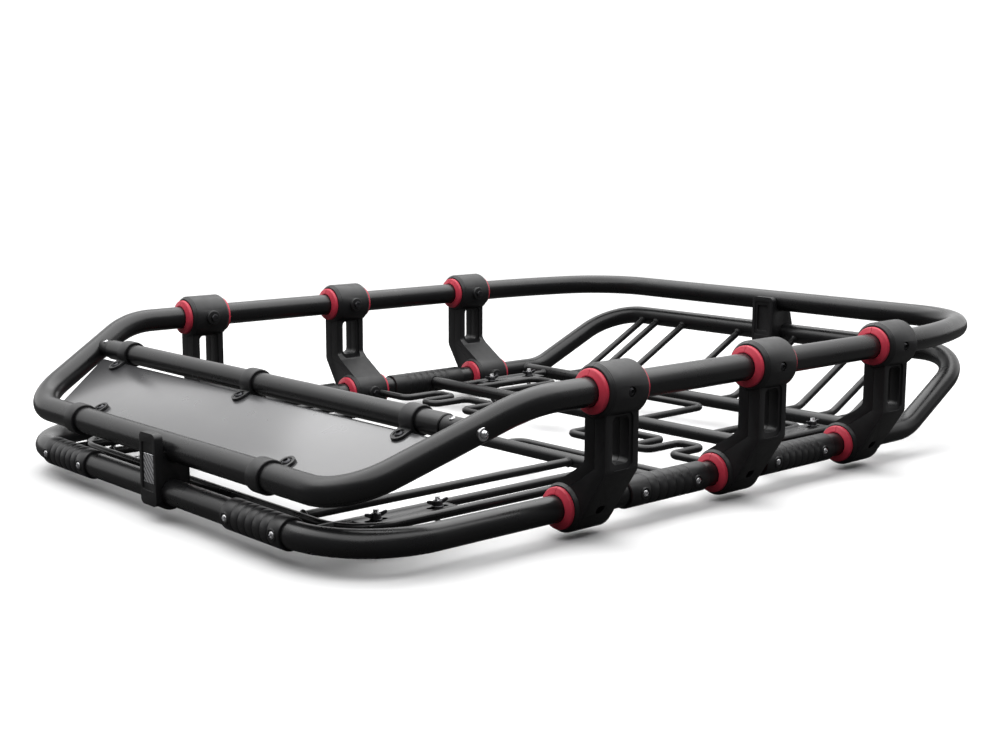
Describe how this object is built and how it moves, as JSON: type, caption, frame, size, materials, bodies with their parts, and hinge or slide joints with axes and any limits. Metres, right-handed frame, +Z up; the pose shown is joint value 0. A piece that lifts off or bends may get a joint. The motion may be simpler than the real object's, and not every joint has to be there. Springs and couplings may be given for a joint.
{
  "type": "roof cargo basket",
  "caption": "Tubular roof cargo basket: double-rail rim on split clamp brackets, rod deck, front fairing, U-bolt mounts.",
  "frame": {"origin": "middle of the basket's plan at the height of the U-bolts' undersides", "axes": "+X to the basket's right, +Y towards its rear, +Z up; the fairing is at -Y"},
  "size_m": [1.0712, 1.4003, 0.24],
  "materials": {
    "powder_coat": "satin black powder coat with a fine texture",
    "bracket_plastic": "matte black moulded plastic",
    "red_bushing": "soft red plastic, satin",
    "fairing_black": "smooth dark grey-black sheet",
    "reflector": "silver faceted reflector",
    "zinc_steel": "bright zinc-plated steel"
  },
  "bodies": {
    "basket": {"upper_rim_front": "powder_coat", "upper_rim_rear": "powder_coat", "lower_front_bar": "powder_coat", "front_frame": "powder_coat", "middle_frame": "powder_coat", "rear_frame": "powder_coat", "sleeve_front_bar_left": "bracket_plastic", "sleeve_front_bar_right": "bracket_plastic", "sleeve_side_front_left": "bracket_plastic", "sleeve_side_front_right": "bracket_plastic", "sleeve_side_rear_left": "bracket_plastic", "sleeve_side_rear_right": "bracket_plastic", "bracket_outer_front_left": "bracket_plastic", "bracket_inner_front_left": "bracket_plastic", "bushing_upper_front_left": "red_bushing", "bushing_lower_front_left": "red_bushing", "bracket_outer_front_right": "bracket_plastic", "bracket_inner_front_right": "bracket_plastic", "bushing_upper_front_right": "red_bushing", "bushing_lower_front_right": "red_bushing", "bracket_outer_middle_left": "bracket_plastic", "bracket_inner_middle_left": "bracket_plastic", "bushing_upper_middle_left": "red_bushing", "bushing_lower_middle_left": "red_bushing", "bracket_outer_middle_right": "bracket_plastic", "bracket_inner_middle_right": "bracket_plastic", "bushing_upper_middle_right": "red_bushing", "bushing_lower_middle_right": "red_bushing", "bracket_outer_rear_left": "bracket_plastic", "bracket_inner_rear_left": "bracket_plastic", "bushing_upper_rear_left": "red_bushing", "bushing_lower_rear_left": "red_bushing", "bracket_outer_rear_right": "bracket_plastic", "bracket_inner_rear_right": "bracket_plastic", "bushing_upper_rear_right": "red_bushing", "bushing_lower_rear_right": "red_bushing", "fairing_tube": "powder_coat", "fairing_end_left": "bracket_plastic", "fairing_end_right": "bracket_plastic", "fairing_plate": "fairing_black", "fairing_clamp_top_left": "bracket_plastic", "fairing_clamp_top_centre": "bracket_plastic", "fairing_clamp_top_right": "bracket_plastic", "fairing_clamp_bottom_left": "bracket_plastic", "fairing_clamp_bottom_right": "bracket_plastic", "front_block": "bracket_plastic", "front_reflector": "reflector", "rear_block": "bracket_plastic"},
    "u_bolt_front_left": {"u_bolt_front_left": "zinc_steel"},
    "wing_nut_front_left_a": {"wing_nut_front_left_a": "zinc_steel"},
    "wing_nut_front_left_b": {"wing_nut_front_left_b": "zinc_steel"},
    "u_bolt_front_right": {"u_bolt_front_right": "zinc_steel"},
    "wing_nut_front_right_a": {"wing_nut_front_right_a": "zinc_steel"},
    "wing_nut_front_right_b": {"wing_nut_front_right_b": "zinc_steel"},
    "u_bolt_rear_left": {"u_bolt_rear_left": "zinc_steel"},
    "wing_nut_rear_left_a": {"wing_nut_rear_left_a": "zinc_steel"},
    "wing_nut_rear_left_b": {"wing_nut_rear_left_b": "zinc_steel"},
    "u_bolt_rear_right": {"u_bolt_rear_right": "zinc_steel"},
    "wing_nut_rear_right_a": {"wing_nut_rear_right_a": "zinc_steel"},
    "wing_nut_rear_right_b": {"wing_nut_rear_right_b": "zinc_steel"}
  },
  "joints": [
    {"name": "u_bolt_front_left_slide", "type": "slide", "parent": "basket", "child": "u_bolt_front_left", "axis": [0, 1, 0], "range_m": [-0.012, 0.012]},
    {"name": "wing_nut_front_left_a_turn", "type": "hinge", "parent": "u_bolt_front_left", "child": "wing_nut_front_left_a", "pos_m": [-0.3435, -0.5645, 0.0463], "axis": [0, 0, 1], "continuous": true},
    {"name": "wing_nut_front_left_b_turn", "type": "hinge", "parent": "u_bolt_front_left", "child": "wing_nut_front_left_b", "pos_m": [-0.3435, -0.4645, 0.0463], "axis": [0, 0, 1], "continuous": true},
    {"name": "u_bolt_front_right_slide", "type": "slide", "parent": "basket", "child": "u_bolt_front_right", "axis": [0, 1, 0], "range_m": [-0.012, 0.012]},
    {"name": "wing_nut_front_right_a_turn", "type": "hinge", "parent": "u_bolt_front_right", "child": "wing_nut_front_right_a", "pos_m": [0.3435, -0.5645, 0.0463], "axis": [0, 0, 1], "continuous": true},
    {"name": "wing_nut_front_right_b_turn", "type": "hinge", "parent": "u_bolt_front_right", "child": "wing_nut_front_right_b", "pos_m": [0.3435, -0.4645, 0.0463], "axis": [0, 0, 1], "continuous": true},
    {"name": "u_bolt_rear_left_slide", "type": "slide", "parent": "basket", "child": "u_bolt_rear_left", "axis": [0, 1, 0], "range_m": [-0.012, 0.012]},
    {"name": "wing_nut_rear_left_a_turn", "type": "hinge", "parent": "u_bolt_rear_left", "child": "wing_nut_rear_left_a", "pos_m": [-0.3435, 0.2455, 0.0463], "axis": [0, 0, 1], "continuous": true},
    {"name": "wing_nut_rear_left_b_turn", "type": "hinge", "parent": "u_bolt_rear_left", "child": "wing_nut_rear_left_b", "pos_m": [-0.3435, 0.3455, 0.0463], "axis": [0, 0, 1], "continuous": true},
    {"name": "u_bolt_rear_right_slide", "type": "slide", "parent": "basket", "child": "u_bolt_rear_right", "axis": [0, 1, 0], "range_m": [-0.012, 0.012]},
    {"name": "wing_nut_rear_right_a_turn", "type": "hinge", "parent": "u_bolt_rear_right", "child": "wing_nut_rear_right_a", "pos_m": [0.3435, 0.2455, 0.0463], "axis": [0, 0, 1], "continuous": true},
    {"name": "wing_nut_rear_right_b_turn", "type": "hinge", "parent": "u_bolt_rear_right", "child": "wing_nut_rear_right_b", "pos_m": [0.3435, 0.3455, 0.0463], "axis": [0, 0, 1], "continuous": true}
  ]
}
